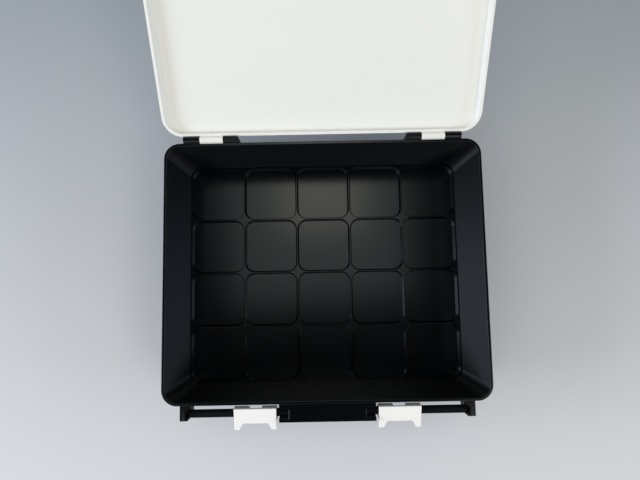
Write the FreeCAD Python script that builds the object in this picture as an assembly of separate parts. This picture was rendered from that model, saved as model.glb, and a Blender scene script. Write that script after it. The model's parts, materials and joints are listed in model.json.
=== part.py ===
# Hinged-lid bin case: tub with a 42 mm grid floor, lid, two hinge pins,
# two latch rods and two latch levers. Millimetres, +Z up, +X right, +Y back.
# The lid is modelled closed and then swung to the open rest position.

import FreeCAD, Part
import math
import os

os.makedirs("parts", exist_ok=True)

Vec = FreeCAD.Vector
along_x = Vec(1, 0, 0)

# Grid floor
pitch = 42.0
column_count = 5
row_count = 4
ridge_width = 0.4
ridge_height = 3.8
pocket_corner = 7.5
pocket_draft = 1.1
floor_plate = 4.2

# Tub walls
grid_margin = 1.0
cavity_draft = 0.95
wall = 2.0
rim_height = 65.0
tub_corner = 10.5
tub_foot_chamfer = 0.8
rim_round = 0.4

# Lid
lid_gap = 0.3
lid_height = 8.0
lid_corner = 13.2
lid_band = 2.1
tray_depth = 5.0
lid_top_round = 1.6
lid_lip_round = 0.4
tray_round = 0.8
open_angle = 150.0

# Hinges
axis_standoff = 2.25
axis_drop = 0.6
knuckle_radius = 2.6
hinge_inset = 13.4
outer_lug_width = 11.25
barrel_width = 16.1
inner_lug_width = 10.5
side_clearance = 0.15
swing_clearance = 0.3
stop_clearance = 0.25
heel_drop = 4.0
lug_corner_cut = 1.4
pin_radius = 0.95
pin_fit = 0.02
pin_running_clearance = 0.05
pin_recess = 0.5

# Latch rods
rod_standoff = 6.82
rod_drop = 8.4
rod_radius = 2.65
rod_fit = 0.03
rod_slot_play = 0.8
rod_bracket_play = 3.2

# Centre block
fitting_top_drop = 2.5
block_half_length = 32.0
block_lead = 0.6
block_face_height = 17.0
slot_reach = 6.0
slot_chamfer = 1.1

# End brackets
bracket_inset = 11.75
bracket_width = 5.95
bracket_tip_width = 3.45
bracket_face_height = 15.0
bracket_root_drop = 11.5
brace_reach = 7.6
brace_end = 3.9
end_wall = 1.8
lip_wall = 2.2
lip_rise = 0.5
lip_lean = 1.5

# Latch levers, drawn in the closed position
lever_gap = 1.9
lever_width = 28.0
lever_closing_angle = 74.0
ring_wall = 1.65
lever_running_clearance = 0.06
plate_lead = 0.4
lever_plate = 1.45
lever_top = 5.1
lever_tip = 9.9
arch_rise = 4.5
arch_tip_half = 10.7
arch_flat_half = 8.2
arch_round = 2.8
cheek_width = 3.5
cheek_wall_gap = 0.25
cheek_toe_drop = 6.9
cheek_heel_drop = 2.0
knuckle_width = 9.6
lever_edge_round = 0.45
nose_width = 5.8
nose_top_drop = 3.6
nose_bottom_drop = 5.3
nose_recess = 0.35

# Lid tongues taken by the lever noses
tongue_width = 10.4
tongue_ring_gap = 0.3
tongue_wall_gap = 0.3
tongue_taper = 0.75
tongue_bottom_drop = 9.8
window_width = 6.4
window_top_drop = 3.3
window_bottom_drop = 7.1
tongue_root_height = 6.4
tongue_root_chamfer = 1.2

# Extra length on cutting tools and on roots sunk into a neighbour
overrun = 1.0

# Two places closer than this count as one
place_tolerance = 1e-6

# Derived positions of tub and lid
cavity_half_x = column_count * pitch / 2 + grid_margin
cavity_half_y = row_count * pitch / 2 + grid_margin
mouth_half_x = cavity_half_x + cavity_draft
mouth_half_y = cavity_half_y + cavity_draft
mouth_corner = tub_corner - wall
outer_half_x = mouth_half_x + wall
outer_half_y = mouth_half_y + wall
ridge_top = floor_plate + ridge_height
lid_bottom = rim_height + lid_gap
lid_top = lid_bottom + lid_height

# Derived positions of the hinges
hinge_y = outer_half_y + axis_standoff
hinge_z = rim_height - axis_drop
outer_lug_end = outer_half_x - hinge_inset
barrel_end = outer_lug_end - outer_lug_width
barrel_start = barrel_end - barrel_width
inner_lug_start = barrel_start - inner_lug_width

# Derived positions of the latches
rod_y = -outer_half_y - rod_standoff
rod_z = rim_height - rod_drop
seat_radius = rod_radius + rod_fit
ring_radius = rod_radius + ring_wall
plate_standoff = ring_radius + plate_lead
fitting_top = rim_height - fitting_top_drop
block_depth = rod_standoff + plate_standoff + block_lead
slot_start = block_half_length - slot_reach
bracket_depth = rod_standoff + seat_radius + lip_wall
bracket_outer = outer_half_x - bracket_inset
bracket_inner = bracket_outer - bracket_width
seat_end = bracket_outer - end_wall
lip_top = rod_z + lip_rise
rod_start = slot_start + rod_slot_play
rod_end = seat_end - rod_bracket_play
lever_inner = block_half_length + lever_gap
lever_outer = lever_inner + lever_width
lever_centre = (lever_inner + lever_outer) / 2
lever_face_y = rod_y - plate_standoff
tongue_face_y = rod_y + ring_radius + tongue_ring_gap
tongue_back_y = -outer_half_y - tongue_wall_gap


def rounded_outline(half_x, half_y, z, corner):
    """Closed rounded rectangle about the Z axis."""
    x = half_x - corner
    y = half_y - corner
    diagonal = corner * math.sqrt(0.5)
    corners = ((x, y, 1, 1), (-x, y, -1, 1), (-x, -y, -1, -1), (x, -y, 1, -1))
    edges = []
    ends = []
    for cx, cy, sx, sy in corners:
        side = Vec(cx + sx * corner, cy, z)
        middle = Vec(cx + sx * diagonal, cy + sy * diagonal, z)
        end = Vec(cx, cy + sy * corner, z)
        if sx * sy < 0:
            side, end = end, side
        edges.append(Part.Arc(side, middle, end).toShape())
        ends.append((side, end))
    ring = []
    for index, edge in enumerate(edges):
        ring.append(edge)
        following = ends[(index + 1) % len(ends)]
        ring.append(Part.makeLine(ends[index][1], following[0]))
    return Part.Wire(ring)


def rounded_block(half_x, half_y, z_low, z_high, corner):
    face = Part.Face(rounded_outline(half_x, half_y, z_low, corner))
    return face.extrude(Vec(0, 0, z_high - z_low))


def prism(corners, run):
    """Closed outline through the corners, drawn out along a vector."""
    face = Part.Face(Part.makePolygon(corners + corners[:1]))
    return face.extrude(run)


def prism_x(points, x_low, x_high):
    """Outline given as (y, z), drawn out along X."""
    return prism([Vec(x_low, y, z) for y, z in points], Vec(x_high - x_low, 0, 0))


def prism_z(points, z_low, z_high):
    """Outline given as (x, y), drawn out along Z."""
    return prism([Vec(x, y, z_low) for x, y in points], Vec(0, 0, z_high - z_low))


def bar_x(radius, x_low, x_high, y, z):
    return Part.makeCylinder(radius, x_high - x_low, Vec(x_low, y, z), along_x)


def box(x_low, x_high, y_low, y_high, z_low, z_high):
    size = (x_high - x_low, y_high - y_low, z_high - z_low)
    return Part.makeBox(*size, Vec(x_low, y_low, z_low))


def level_edges(shape, height):
    """Edges lying wholly at one height."""
    found = []
    for edge in shape.Edges:
        bounds = edge.BoundBox
        spread = max(abs(bounds.ZMin - height), abs(bounds.ZMax - height))
        if spread < place_tolerance:
            found.append(edge)
    return found


def facing_edges(shape, y):
    """Edges lying wholly in one upright plane across Y."""
    found = []
    for edge in shape.Edges:
        bounds = edge.BoundBox
        spread = max(abs(bounds.YMin - y), abs(bounds.YMax - y))
        if spread < place_tolerance:
            found.append(edge)
    return found


def mirrored(shape):
    return shape.mirror(Vec(0, 0, 0), along_x)


def joined(shapes):
    return shapes[0].fuse(shapes[1:]).removeSplitter()


def save(node, shape):
    if not shape.isValid():
        raise ValueError(node + " is not a valid solid")
    if len(shape.Solids) != 1:
        raise ValueError(node + " is not one solid")
    shape.Solids[0].exportStep("parts/" + node + ".step")
    print(node, "volume", round(shape.Volume, 1))


def tapered_cutter(half_x, half_y, corner, draft, z_low, z_high):
    """Rounded pocket that narrows by the draft toward its floor, open above."""
    foot = rounded_outline(half_x - draft, half_y - draft, z_low, corner - draft)
    mouth = rounded_outline(half_x, half_y, z_high, corner)
    body = Part.makeLoft([foot, mouth], True, True)
    cap = Part.Face(mouth).extrude(Vec(0, 0, overrun))
    return joined([body, cap])


def pocket_cutters():
    half = (pitch - ridge_width) / 2
    cutter = tapered_cutter(half, half, pocket_corner, pocket_draft, floor_plate, ridge_top)
    cutters = []
    for column in range(column_count):
        for row in range(row_count):
            x = (column - (column_count - 1) / 2) * pitch
            y = (row - (row_count - 1) / 2) * pitch
            copy = cutter.copy()
            copy.translate(Vec(x, y, 0))
            cutters.append(copy)
    return cutters


def tub_shell():
    shell = rounded_block(outer_half_x, outer_half_y, 0, rim_height, tub_corner)
    shell = shell.makeChamfer(tub_foot_chamfer, level_edges(shell, 0))
    cavity = tapered_cutter(
        mouth_half_x, mouth_half_y, mouth_corner, cavity_draft, ridge_top, rim_height)
    shell = shell.cut(cavity)
    shell = shell.makeFillet(rim_round, level_edges(shell, rim_height))
    return shell.cut(Part.makeCompound(pocket_cutters()))


def hinge_lug(x_low, x_high):
    """Barrel, web to the wall and the heel that stops the open lid."""
    lean = math.pi - math.radians(open_angle)
    reach = axis_standoff - stop_clearance
    axis_heel = reach / math.cos(lean)
    foot_heel = (reach + heel_drop * math.sin(lean)) / math.cos(lean)
    wall_y = outer_half_y - overrun
    foot_z = hinge_z - heel_drop
    root_z = foot_z - (hinge_y + foot_heel - wall_y)
    outline = [
        (wall_y, rim_height - rim_round),
        (outer_half_y, rim_height),
        (hinge_y, rim_height),
        (hinge_y + axis_heel, hinge_z),
        (hinge_y + foot_heel, foot_z),
        (wall_y, root_z),
    ]
    web = prism_x(outline, x_low, x_high)
    barrel = bar_x(knuckle_radius, x_low, x_high, hinge_y, hinge_z)
    return joined([web, barrel])


def inner_lug():
    """Lug nearer the middle, its far inner corner cut off at 45 degrees."""
    low = inner_lug_start
    back_y = hinge_y + knuckle_radius
    far_y = back_y + heel_drop
    corner = [
        (low - overrun, back_y - lug_corner_cut - overrun),
        (low + lug_corner_cut + heel_drop, far_y),
        (low - overrun, far_y),
    ]
    lug = hinge_lug(low, barrel_start - side_clearance)
    return lug.cut(prism_z(corner, 0, rim_height + knuckle_radius))


def outer_lug():
    return hinge_lug(barrel_end + side_clearance, outer_lug_end)


def front_block():
    """Centre block with an underside rising at 45 degrees from the wall."""
    face_y = -outer_half_y - block_depth
    wall_y = -outer_half_y + overrun
    face_low = fitting_top - block_face_height
    root_low = face_low - block_depth - overrun
    outline = [
        (wall_y, fitting_top),
        (face_y, fitting_top),
        (face_y, face_low),
        (wall_y, root_low),
    ]
    return prism_x(outline, -block_half_length, block_half_length)


def end_bracket():
    """Right end bracket: end wall, brace behind the rod and a low lip before it.

    Its underside rises at 45 degrees from the wall and from the outer end.
    """
    wall_y = -outer_half_y + overrun
    tip_y = -outer_half_y - bracket_depth
    face_low = fitting_top - bracket_face_height
    root_low = face_low - bracket_depth - overrun
    tip_inner = bracket_outer - bracket_tip_width
    gusset = brace_reach - bracket_width
    far_x = bracket_outer - brace_reach - overrun
    plan = [
        (far_x, wall_y),
        (bracket_inner, -outer_half_y - gusset),
        (bracket_inner, tip_y + bracket_width - bracket_tip_width),
        (tip_inner, tip_y),
        (bracket_outer, tip_y),
        (bracket_outer, wall_y),
    ]
    side = [
        (wall_y, fitting_top),
        (tip_y + lip_lean, fitting_top),
        (tip_y, lip_top),
        (tip_y, face_low),
        (wall_y, root_low),
    ]
    column = prism_z(plan, root_low, fitting_top)
    column = column.common(prism_x(side, far_x - overrun, bracket_outer + overrun))
    seat_back_y = rod_y + seat_radius
    brace_start = bracket_outer - brace_reach
    shelf_plan = [
        (bracket_outer - brace_end, seat_back_y),
        (brace_start, -outer_half_y),
        (brace_start, wall_y + overrun),
        (far_x - overrun, wall_y + overrun),
        (far_x - overrun, seat_back_y),
    ]
    above = fitting_top + overrun
    column = column.cut(prism_z(shelf_plan, lip_top, above))
    column = column.cut(box(far_x, seat_end, tip_y - overrun, rod_y, lip_top, above))
    root_z = fitting_top - bracket_root_drop
    first_x = far_x - overrun
    last_x = bracket_outer + overrun
    start_y = tip_y - overrun
    underside = [
        Vec(first_x, start_y, root_z + brace_start - first_x),
        Vec(last_x, start_y, root_z + brace_start - last_x),
        Vec(last_x, start_y, root_low - overrun),
        Vec(first_x, start_y, root_low - overrun),
    ]
    return column.cut(prism(underside, Vec(0, wall_y + overrun - start_y, 0)))


def rectangle(x_low, x_high, y_low, y_high, z):
    corners = [(x_low, y_low), (x_high, y_low), (x_high, y_high), (x_low, y_high)]
    points = [Vec(x, y, z) for x, y in corners]
    return Part.makePolygon(points + points[:1])


def rod_seat(x_low, x_high):
    """Round seat for a rod, open above."""
    front_y = rod_y - seat_radius
    back_y = rod_y + seat_radius
    throat = box(x_low, x_high, front_y, back_y, rod_z, fitting_top + overrun)
    return joined([bar_x(seat_radius, x_low, x_high, rod_y, rod_z), throat])


def rod_seats():
    """Seats in the right of the block and in the right bracket."""
    block_end = block_half_length + overrun
    front_y = rod_y - seat_radius
    back_y = rod_y + seat_radius
    spread = slot_chamfer + overrun
    lower = rectangle(slot_start, block_end, front_y, back_y, fitting_top - slot_chamfer)
    upper = rectangle(
        slot_start - spread, block_end, front_y - spread, back_y, fitting_top + overrun)
    mouth = Part.makeLoft([lower, upper], True, True)
    first_x = bracket_outer - brace_reach - overrun
    return [rod_seat(slot_start, block_end), mouth, rod_seat(first_x, seat_end)]


def make_tub():
    right = [inner_lug(), outer_lug(), end_bracket()]
    left = [mirrored(piece) for piece in right]
    body = joined([tub_shell(), front_block()] + right + left)
    relief_low = barrel_start - side_clearance
    relief_high = barrel_end + side_clearance
    relief_radius = knuckle_radius + swing_clearance
    pin_bore = pin_radius + pin_fit
    tools = rod_seats()
    tools.append(bar_x(relief_radius, relief_low, relief_high, hinge_y, hinge_z))
    tools.append(bar_x(pin_bore, inner_lug_start - overrun, outer_lug_end + overrun, hinge_y, hinge_z))
    tools = tools + [mirrored(tool) for tool in tools]
    for tool in tools:
        body = body.cut(tool)
    return body


def lid_barrel():
    """Right lid knuckle with the arm that joins it to the lid wall."""
    low = barrel_start + side_clearance
    high = barrel_end - side_clearance
    root_y = outer_half_y - overrun
    arm = box(low, high, root_y, hinge_y, lid_bottom, hinge_z + knuckle_radius)
    return joined([bar_x(knuckle_radius, low, high, hinge_y, hinge_z), arm])


def lid_tongue():
    """Right front tongue with the window that takes the lever nose."""
    low = lever_centre - tongue_width / 2
    high = lever_centre + tongue_width / 2
    root_top = lid_bottom + tongue_root_height
    root_side = root_top - tongue_root_chamfer
    bottom = rod_z - tongue_bottom_drop
    blade_outline = [
        (tongue_face_y, root_side),
        (tongue_face_y, rod_z),
        (tongue_face_y + tongue_taper, bottom),
        (tongue_back_y, bottom),
        (tongue_back_y, root_side),
    ]
    root_outline = [
        (tongue_face_y, lid_bottom),
        (tongue_face_y, root_side),
        (tongue_face_y + tongue_root_chamfer, root_top),
        (-outer_half_y + overrun, root_top),
        (-outer_half_y + overrun, lid_bottom),
    ]
    window = box(
        lever_centre - window_width / 2,
        lever_centre + window_width / 2,
        tongue_face_y - overrun,
        tongue_back_y + overrun,
        rod_z - window_bottom_drop,
        rod_z - window_top_drop,
    )
    blade = prism_x(blade_outline, low, high)
    return joined([blade, prism_x(root_outline, low, high)]).cut(window)


def lid_shell():
    shell = rounded_block(outer_half_x, outer_half_y, lid_bottom, lid_top, lid_corner)
    shell = shell.makeFillet(lid_top_round, level_edges(shell, lid_top))
    tray_low = lid_bottom - overrun
    tray_high = lid_bottom + tray_depth
    tray_x = outer_half_x - lid_band
    tray_y = outer_half_y - lid_band
    tray = rounded_block(tray_x, tray_y, tray_low, tray_high, lid_corner - lid_band)
    tray = tray.makeFillet(tray_round, level_edges(tray, tray_high))
    shell = shell.cut(tray)
    return shell.makeFillet(lid_lip_round, level_edges(shell, lid_bottom))


def make_lid():
    right = [lid_barrel(), lid_tongue()]
    body = joined([lid_shell()] + right + [mirrored(piece) for piece in right])
    relief_radius = knuckle_radius + swing_clearance
    pin_bore = pin_radius + pin_running_clearance
    tools = [bar_x(pin_bore, inner_lug_start, outer_lug_end, hinge_y, hinge_z)]
    for low, high in ((inner_lug_start, barrel_start), (barrel_end, outer_lug_end)):
        start = low - side_clearance
        end = high + side_clearance
        tools.append(bar_x(relief_radius, start, end, hinge_y, hinge_z))
    tools = tools + [mirrored(tool) for tool in tools]
    for tool in tools:
        body = body.cut(tool)
    body.rotate(Vec(0, hinge_y, hinge_z), along_x, -open_angle)
    return body


def make_hinge_pin():
    low = inner_lug_start + pin_recess
    high = outer_lug_end - pin_recess
    return bar_x(pin_radius, low, high, hinge_y, hinge_z)


def make_rod():
    return bar_x(rod_radius, rod_start, rod_end, rod_y, rod_z)


def arch_cutter():
    """Finger arch, drawn as (x, z) on the front plate and cut through it."""
    low = rod_z - lever_tip
    top = low + arch_rise
    run = arch_tip_half - arch_flat_half
    slant = math.hypot(run, arch_rise)
    side_x = arch_round * run / slant
    side_z = arch_round * arch_rise / slant
    bow = math.atan2(arch_rise, run) / 2
    depth = arch_round * math.tan(bow) * (1 / math.cos(bow) - 1)
    lean = bow + math.pi / 2
    middle_x = arch_flat_half + depth * math.cos(lean)
    middle_z = top - depth * math.sin(lean)
    foot = arch_tip_half + overrun * run / arch_rise
    y = lever_face_y - overrun

    def at(x, z):
        return Vec(lever_centre + x, y, z)

    right_foot = at(foot, low - overrun)
    right_low = at(arch_flat_half + side_x, top - side_z)
    right_top = at(arch_flat_half - arch_round, top)
    left_top = at(-arch_flat_half + arch_round, top)
    left_low = at(-arch_flat_half - side_x, top - side_z)
    left_foot = at(-foot, low - overrun)
    edges = [
        Part.makeLine(right_foot, right_low),
        Part.Arc(right_low, at(middle_x, middle_z), right_top).toShape(),
        Part.makeLine(right_top, left_top),
        Part.Arc(left_top, at(-middle_x, middle_z), left_low).toShape(),
        Part.makeLine(left_low, left_foot),
        Part.makeLine(left_foot, right_foot),
    ]
    face = Part.Face(Part.Wire(edges))
    return face.extrude(Vec(0, lever_plate + overrun + overrun, 0))


def make_lever():
    """Right lever: front plate, two cheeks, two rod knuckles and the nose."""
    face_y = lever_face_y
    back_y = -outer_half_y - cheek_wall_gap
    top = rod_z + lever_top
    tip = rod_z - lever_tip
    plate = box(lever_inner, lever_outer, face_y, face_y + lever_plate, tip, top)
    cheek_outline = [
        (face_y, top),
        (rod_y, rod_z + ring_radius),
        (back_y, rod_z - cheek_heel_drop),
        (back_y, rod_z - cheek_toe_drop),
        (face_y + lever_plate, tip),
        (face_y, tip),
    ]
    knuckle_outline = [
        (face_y, top),
        (rod_y, rod_z + ring_radius),
        (rod_y, rod_z - ring_radius),
        (face_y, rod_z - ring_radius),
    ]
    pieces = [plate.cut(arch_cutter())]
    inner_cheek = lever_inner + cheek_width
    outer_cheek = lever_outer - cheek_width
    for low, high in ((lever_inner, inner_cheek), (outer_cheek, lever_outer)):
        pieces.append(prism_x(cheek_outline, low, high))
    inner_knuckle = lever_inner + knuckle_width
    outer_knuckle = lever_outer - knuckle_width
    for low, high in ((lever_inner, inner_knuckle), (outer_knuckle, lever_outer)):
        pieces.append(bar_x(ring_radius, low, high, rod_y, rod_z))
        pieces.append(prism_x(knuckle_outline, low, high))
    nose = box(
        lever_centre - nose_width / 2,
        lever_centre + nose_width / 2,
        face_y,
        tongue_back_y - nose_recess,
        rod_z - nose_bottom_drop,
        rod_z - nose_top_drop,
    )
    body = joined(pieces + [nose])
    body = body.makeFillet(lever_edge_round, facing_edges(body, face_y))
    bore = rod_radius + lever_running_clearance
    body = body.cut(bar_x(bore, lever_inner - overrun, lever_outer + overrun, rod_y, rod_z))
    body.rotate(Vec(0, rod_y, rod_z), along_x, -lever_closing_angle)
    return body


save("tub", make_tub())
save("lid", make_lid())
right_pieces = (
    ("hinge_pin", make_hinge_pin()),
    ("latch_rod", make_rod()),
    ("latch_lever", make_lever()),
)
for name, shape in right_pieces:
    save(name + "_right", shape)
    save(name + "_left", mirrored(shape))
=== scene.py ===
# Looks for the hinged-lid grid case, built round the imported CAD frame. Metres.
import json
import math
import bpy
from mathutils import Matrix, Vector

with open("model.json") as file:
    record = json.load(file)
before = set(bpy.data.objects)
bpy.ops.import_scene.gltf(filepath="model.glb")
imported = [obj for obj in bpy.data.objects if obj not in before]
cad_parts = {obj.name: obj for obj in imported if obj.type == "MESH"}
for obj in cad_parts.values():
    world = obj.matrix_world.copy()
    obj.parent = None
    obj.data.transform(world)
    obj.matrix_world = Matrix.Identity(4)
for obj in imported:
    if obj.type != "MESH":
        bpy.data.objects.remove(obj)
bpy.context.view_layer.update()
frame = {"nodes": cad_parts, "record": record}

scene = bpy.context.scene


def linearColour(hexText):
    # Turns an sRGB hex colour into linear light.
    parts = []
    for index in (1, 3, 5):
        value = int(hexText[index:index + 2], 16) / 255
        parts.append(value / 12.92 if value <= 0.04045 else ((value + 0.055) / 1.055) ** 2.4)
    return (parts[0], parts[1], parts[2], 1.0)


def emptyTree(owner):
    # Switches on the nodes of a material or a world and clears them.
    owner.use_nodes = True
    owner.node_tree.nodes.clear()
    return owner.node_tree


def addNode(tree, kind, inputs=None, **fields):
    # Adds one node. An input given as another node's output is linked, any other is set.
    node = tree.nodes.new(kind)
    for name, value in fields.items():
        setattr(node, name, value)
    for name, value in (inputs or {}).items():
        if isinstance(value, bpy.types.NodeSocket):
            tree.links.new(value, node.inputs[name])
        else:
            node.inputs[name].default_value = value
    return node


def sideToLevel(tree, look, levelness, onSides, onLevel):
    # The number itself where both are the same, or else a blend from the sides to the level faces.
    if onSides == onLevel:
        return onSides
    blend = addNode(tree, "ShaderNodeMapRange", {
        "Value": levelness, "From Min": look["sideUpTo"], "From Max": look["levelFrom"],
        "To Min": onSides, "To Max": onLevel})
    return blend.outputs["Result"]


def printedPlastic(name, look):
    # Printed plastic: layer lines on the sides, smoother level faces, slow colour drift.
    material = bpy.data.materials.new(name)
    tree = emptyTree(material)
    layerTurn = (math.radians(look["layerTurn"]), 0.0, 0.0)
    place = addNode(tree, "ShaderNodeTexCoord")
    spot = place.outputs["Object"]
    patches = addNode(tree, "ShaderNodeTexNoise", {
        "Vector": spot, "Scale": look["patchScale"], "Detail": 2.0})
    tint = addNode(tree, "ShaderNodeMix", {
        "Factor": patches.outputs["Fac"], "A": linearColour(look["dark"]), "B": linearColour(look["light"])},
        data_type="RGBA")
    # Layers are noise squeezed along the build direction and drawn out across it.
    # Real ones are 0.2 mm thick, too fine to show, so these are about 1 mm thick.
    turn = addNode(tree, "ShaderNodeMapping", {"Vector": spot, "Rotation": layerTurn})
    squeeze = addNode(tree, "ShaderNodeMapping", {
        "Vector": turn.outputs["Vector"],
        "Scale": (look["layerSpread"], look["layerSpread"], look["layerScale"])})
    layers = addNode(tree, "ShaderNodeTexNoise", {
        "Vector": squeeze.outputs["Vector"], "Scale": 1.0, "Detail": 1.0})
    grain = addNode(tree, "ShaderNodeTexNoise", {
        "Vector": spot, "Scale": look["grainScale"], "Detail": 2.0})
    height = addNode(tree, "ShaderNodeMix", {
        "Factor": look["grainShare"], "A": layers.outputs["Fac"], "B": grain.outputs["Fac"]},
        data_type="FLOAT")
    bump = addNode(tree, "ShaderNodeBump", {
        "Height": height.outputs["Result"], "Strength": look["bump"], "Distance": look["bumpDepth"]})
    # How far a face looks along the build direction tells a level face from a side.
    facing = addNode(tree, "ShaderNodeMapping", {
        "Vector": place.outputs["Normal"], "Rotation": layerTurn}, vector_type="VECTOR")
    split = addNode(tree, "ShaderNodeSeparateXYZ", {"Vector": facing.outputs["Vector"]})
    upright = addNode(tree, "ShaderNodeMath", {0: split.outputs["Z"]}, operation="ABSOLUTE")
    levelness = upright.outputs["Value"]
    gloss = {
        "Roughness": sideToLevel(tree, look, levelness, look["sideRoughness"], look["levelRoughness"]),
        "Specular IOR Level": look["specular"]}
    if look["layerPull"]:
        # Layer lines spread light up and down a side far more than along it.
        along = addNode(tree, "ShaderNodeTangent", direction_type="RADIAL", axis="Z")
        gloss["Anisotropic"] = sideToLevel(tree, look, levelness, look["layerPull"], 0.0)
        gloss["Anisotropic Rotation"] = look["pullTurn"]
        gloss["Tangent"] = along.outputs["Tangent"]
    shader = addNode(tree, "ShaderNodeBsdfPrincipled", {
        "Base Color": tint.outputs["Result"], "Normal": bump.outputs["Normal"], **gloss})
    addNode(tree, "ShaderNodeOutputMaterial", {"Surface": shader.outputs["BSDF"]})
    return material


def drawnSteel(name, look):
    # Drawn steel wire: fine lines along the wire make its shine uneven.
    material = bpy.data.materials.new(name)
    tree = emptyTree(material)
    place = addNode(tree, "ShaderNodeTexCoord")
    squeeze = addNode(tree, "ShaderNodeMapping", {
        "Vector": place.outputs["Object"],
        "Scale": (look["lineSpread"], look["lineScale"], look["lineScale"])})
    lines = addNode(tree, "ShaderNodeTexNoise", {
        "Vector": squeeze.outputs["Vector"], "Scale": 1.0, "Detail": 2.0})
    rough = addNode(tree, "ShaderNodeMapRange", {
        "Value": lines.outputs["Fac"], "From Min": look["noiseLow"], "From Max": look["noiseHigh"],
        "To Min": look["roughLow"], "To Max": look["roughHigh"]})
    shader = addNode(tree, "ShaderNodeBsdfPrincipled", {
        "Base Color": linearColour(look["colour"]), "Metallic": 1.0, "Roughness": rough.outputs["Result"]})
    addNode(tree, "ShaderNodeOutputMaterial", {"Surface": shader.outputs["BSDF"]})
    return material


# What all printed pieces share. Scales are per metre and depths in metres.
printLook = {
    "grainScale": 2500.0, "grainShare": 0.1, "layerScale": 1000.0, "layerSpread": 8.0,
    "layerTurn": 0.0, "bumpDepth": 0.0001, "sideUpTo": 0.75, "levelFrom": 0.98,
    "layerPull": 0.0, "pullTurn": 0.25}
# Black printed tub, satin on its sides and smoother on its floor
tubLook = dict(printLook, dark="#010409", light="#03060c", patchScale=30.0, layerPull=0.9,
               sideRoughness=0.45, levelRoughness=0.18, bump=0.4, specular=0.5)
# Black printed rods, dull all round
rodLook = dict(tubLook, layerPull=0.0, sideRoughness=0.8, levelRoughness=0.8, bump=0.06, specular=0.2)
# White printed lid, printed lying flat and turned with its hinge
lidLook = dict(printLook, dark="#eaebe6", light="#efefeb", patchScale=18.0, layerTurn=150.0,
               sideRoughness=0.55, levelRoughness=0.5, bump=0.25, specular=0.45)
# Whiter printed latch levers
leverLook = dict(lidLook, dark="#f1f1ef", light="#f6f6f4", layerTurn=16.0)
# Steel wire hinge pins
pinLook = {"colour": "#9a9ca0", "lineScale": 3000.0, "lineSpread": 40.0, "noiseLow": 0.3, "noiseHigh": 0.7,
           "roughLow": 0.28, "roughHigh": 0.4}

materials = {
    "tub": printedPlastic("blackPrintedPlastic", tubLook),
    "rod": printedPlastic("blackRodPlastic", rodLook),
    "lid": printedPlastic("whitePrintedPlastic", lidLook),
    "lever": printedPlastic("whiteLatchPlastic", leverLook),
    "pin": drawnSteel("drawnSteelWire", pinLook),
}
slotOf = {part["node"]: part["material_slot"] for part in frame["record"]["subparts"]}
for nodeName, node in frame["nodes"].items():
    node.data.materials.clear()
    node.data.materials.append(materials[slotOf[nodeName]])
print("materials given to", len(frame["nodes"]), "pieces")


# Pale table, with painted shadow of the case and lid just behind it. The "At" values are places on its Y.
tableLook = {"size": 6.0, "near": "#dadade", "behind": "#8d99a4", "far": "#c3cbdd", "roughness": 0.7,
             "nearAt": -0.2, "behindAt": 0.35, "farAt": 1.0}


def buildTable(look):
    half = look["size"] / 2
    corners = [(-half, -half, 0), (half, -half, 0), (half, half, 0), (-half, half, 0)]
    mesh = bpy.data.meshes.new("table")
    mesh.from_pydata(corners, [], [(0, 1, 2, 3)])
    table = bpy.data.objects.new("table", mesh)
    scene.collection.objects.link(table)
    material = bpy.data.materials.new("paleTable")
    tree = emptyTree(material)
    place = addNode(tree, "ShaderNodeTexCoord")
    split = addNode(tree, "ShaderNodeSeparateXYZ", {"Vector": place.outputs["Object"]})
    span = addNode(tree, "ShaderNodeMapRange", {
        "Value": split.outputs["Y"], "From Min": look["nearAt"], "From Max": look["farAt"]})
    blend = addNode(tree, "ShaderNodeValToRGB", {"Fac": span.outputs["Result"]})
    stops = blend.color_ramp.elements
    stops[0].color = linearColour(look["near"])
    stops[1].color = linearColour(look["far"])
    # The stop behind the case is painted shadow, darker and bluer than the table round it.
    behindShare = (look["behindAt"] - look["nearAt"]) / (look["farAt"] - look["nearAt"])
    stops.new(behindShare).color = linearColour(look["behind"])
    shader = addNode(tree, "ShaderNodeBsdfPrincipled", {
        "Base Color": blend.outputs["Color"], "Roughness": look["roughness"]})
    addNode(tree, "ShaderNodeOutputMaterial", {"Surface": shader.outputs["BSDF"]})
    mesh.materials.append(material)


buildTable(tableLook)
print("table laid")


# Camera fitted to the photo. The turn's columns are its right, up and backward directions.
cameraLook = {
    "place": (-0.0026136, -0.0103962, 0.3772062), "lens": 26.156, "sensor": 36.0,
    "nearest": 0.01, "farthest": 20.0,
    "turn": (
        (0.999818, 0.019043, 0.000785),
        (-0.018882, 0.995277, -0.095217),
        (-0.002595, 0.095185, 0.995456))}


def buildCamera(look):
    data = bpy.data.cameras.new("photoCamera")
    data.lens = look["lens"]
    data.sensor_width = look["sensor"]
    data.clip_start = look["nearest"]
    data.clip_end = look["farthest"]
    camera = bpy.data.objects.new("photoCamera", data)
    scene.collection.objects.link(camera)
    camera.matrix_world = Matrix.Translation(Vector(look["place"])) @ Matrix(look["turn"]).to_4x4()
    scene.camera = camera


buildCamera(cameraLook)


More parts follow.
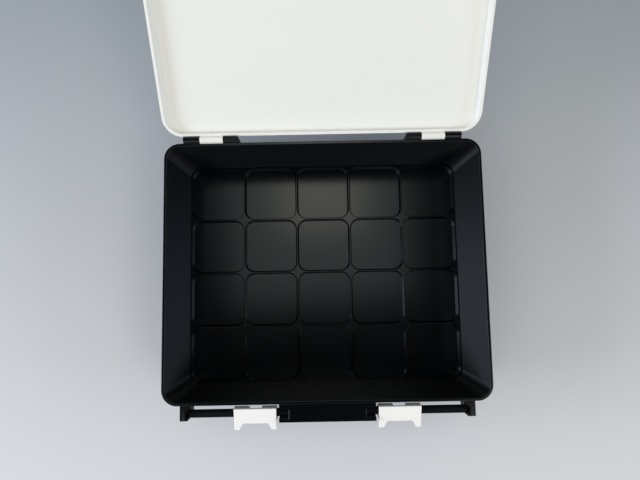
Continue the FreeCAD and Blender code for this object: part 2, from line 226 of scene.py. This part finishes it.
# Soft ceiling lights above and behind the case, cool window light from both sides and the front
lightLooks = {
    "ceilingPanel": {
        "place": (-0.02, 0.335, 1.5), "size": (0.74, 0.83), "power": 1.62,
        "colour": (0.84, 0.97, 0.94)},
    "ceilingSpot": {
        "place": (0.0, 0.38, 1.5), "size": (0.36, 0.34), "power": 0.52,
        "colour": (1.0, 0.91, 0.78)},
    "leftWindow": {
        "place": (-1.5, -0.15, 0.65), "size": (0.8, 0.6), "power": 18.0,
        "colour": (0.74, 0.82, 1.0)},
    "rightWindow": {
        "place": (1.5, -0.15, 0.65), "size": (0.8, 0.6), "power": 7.4,
        "colour": (0.58, 0.72, 1.0)},
    "frontLeft": {
        "place": (-0.9, -0.7, 1.4), "size": (0.6, 0.6), "power": 3.0,
        "colour": (1.0, 0.93, 0.8)},
    "frontRight": {
        "place": (0.9, -0.7, 1.4), "size": (0.6, 0.6), "power": 5.5,
        "colour": (1.0, 0.93, 0.8)},
    "frontWindow": {
        "place": (0.0, -1.3, 1.3), "size": (1.4, 0.8), "power": 4.0,
        "colour": (0.6, 0.75, 1.0)},
}


def areaLight(name, look):
    # One rectangle of light, turned to shine on the case at the origin
    data = bpy.data.lights.new(name, "AREA")
    data.shape = "RECTANGLE"
    data.size, data.size_y = look["size"]
    data.energy = look["power"]
    data.color = look["colour"]
    light = bpy.data.objects.new(name, data)
    scene.collection.objects.link(light)
    light.location = look["place"]
    light.rotation_euler = Vector(look["place"]).to_track_quat("Z", "Y").to_euler()


for lightName, lightLook in lightLooks.items():
    areaLight(lightName, lightLook)

# Room: dim in mirror rays, pale where the camera sees it past the table
roomLook = {"level": 0.386, "mirrorLevel": 0.02, "colour": (1.0, 0.92, 0.75, 1.0), "seen": "#c8cbce"}


def buildRoom(look):
    world = bpy.data.worlds.new("softRoom")
    tree = emptyTree(world)
    path = addNode(tree, "ShaderNodeLightPath")
    level = addNode(tree, "ShaderNodeMapRange", {
        "Value": path.outputs["Is Glossy Ray"], "From Min": 0.0, "From Max": 1.0,
        "To Min": look["level"], "To Max": look["mirrorLevel"]})
    back = addNode(tree, "ShaderNodeBackground", {
        "Color": look["colour"], "Strength": level.outputs["Result"]})
    seen = addNode(tree, "ShaderNodeBackground", {"Color": linearColour(look["seen"]), "Strength": 1.0})
    pick = addNode(tree, "ShaderNodeMixShader", {
        0: path.outputs["Is Camera Ray"], 1: back.outputs["Background"], 2: seen.outputs["Background"]})
    addNode(tree, "ShaderNodeOutputWorld", {"Surface": pick.outputs["Shader"]})
    scene.world = world


buildRoom(roomLook)
scene.view_settings.view_transform = "Standard"
print("camera, lights and room set")
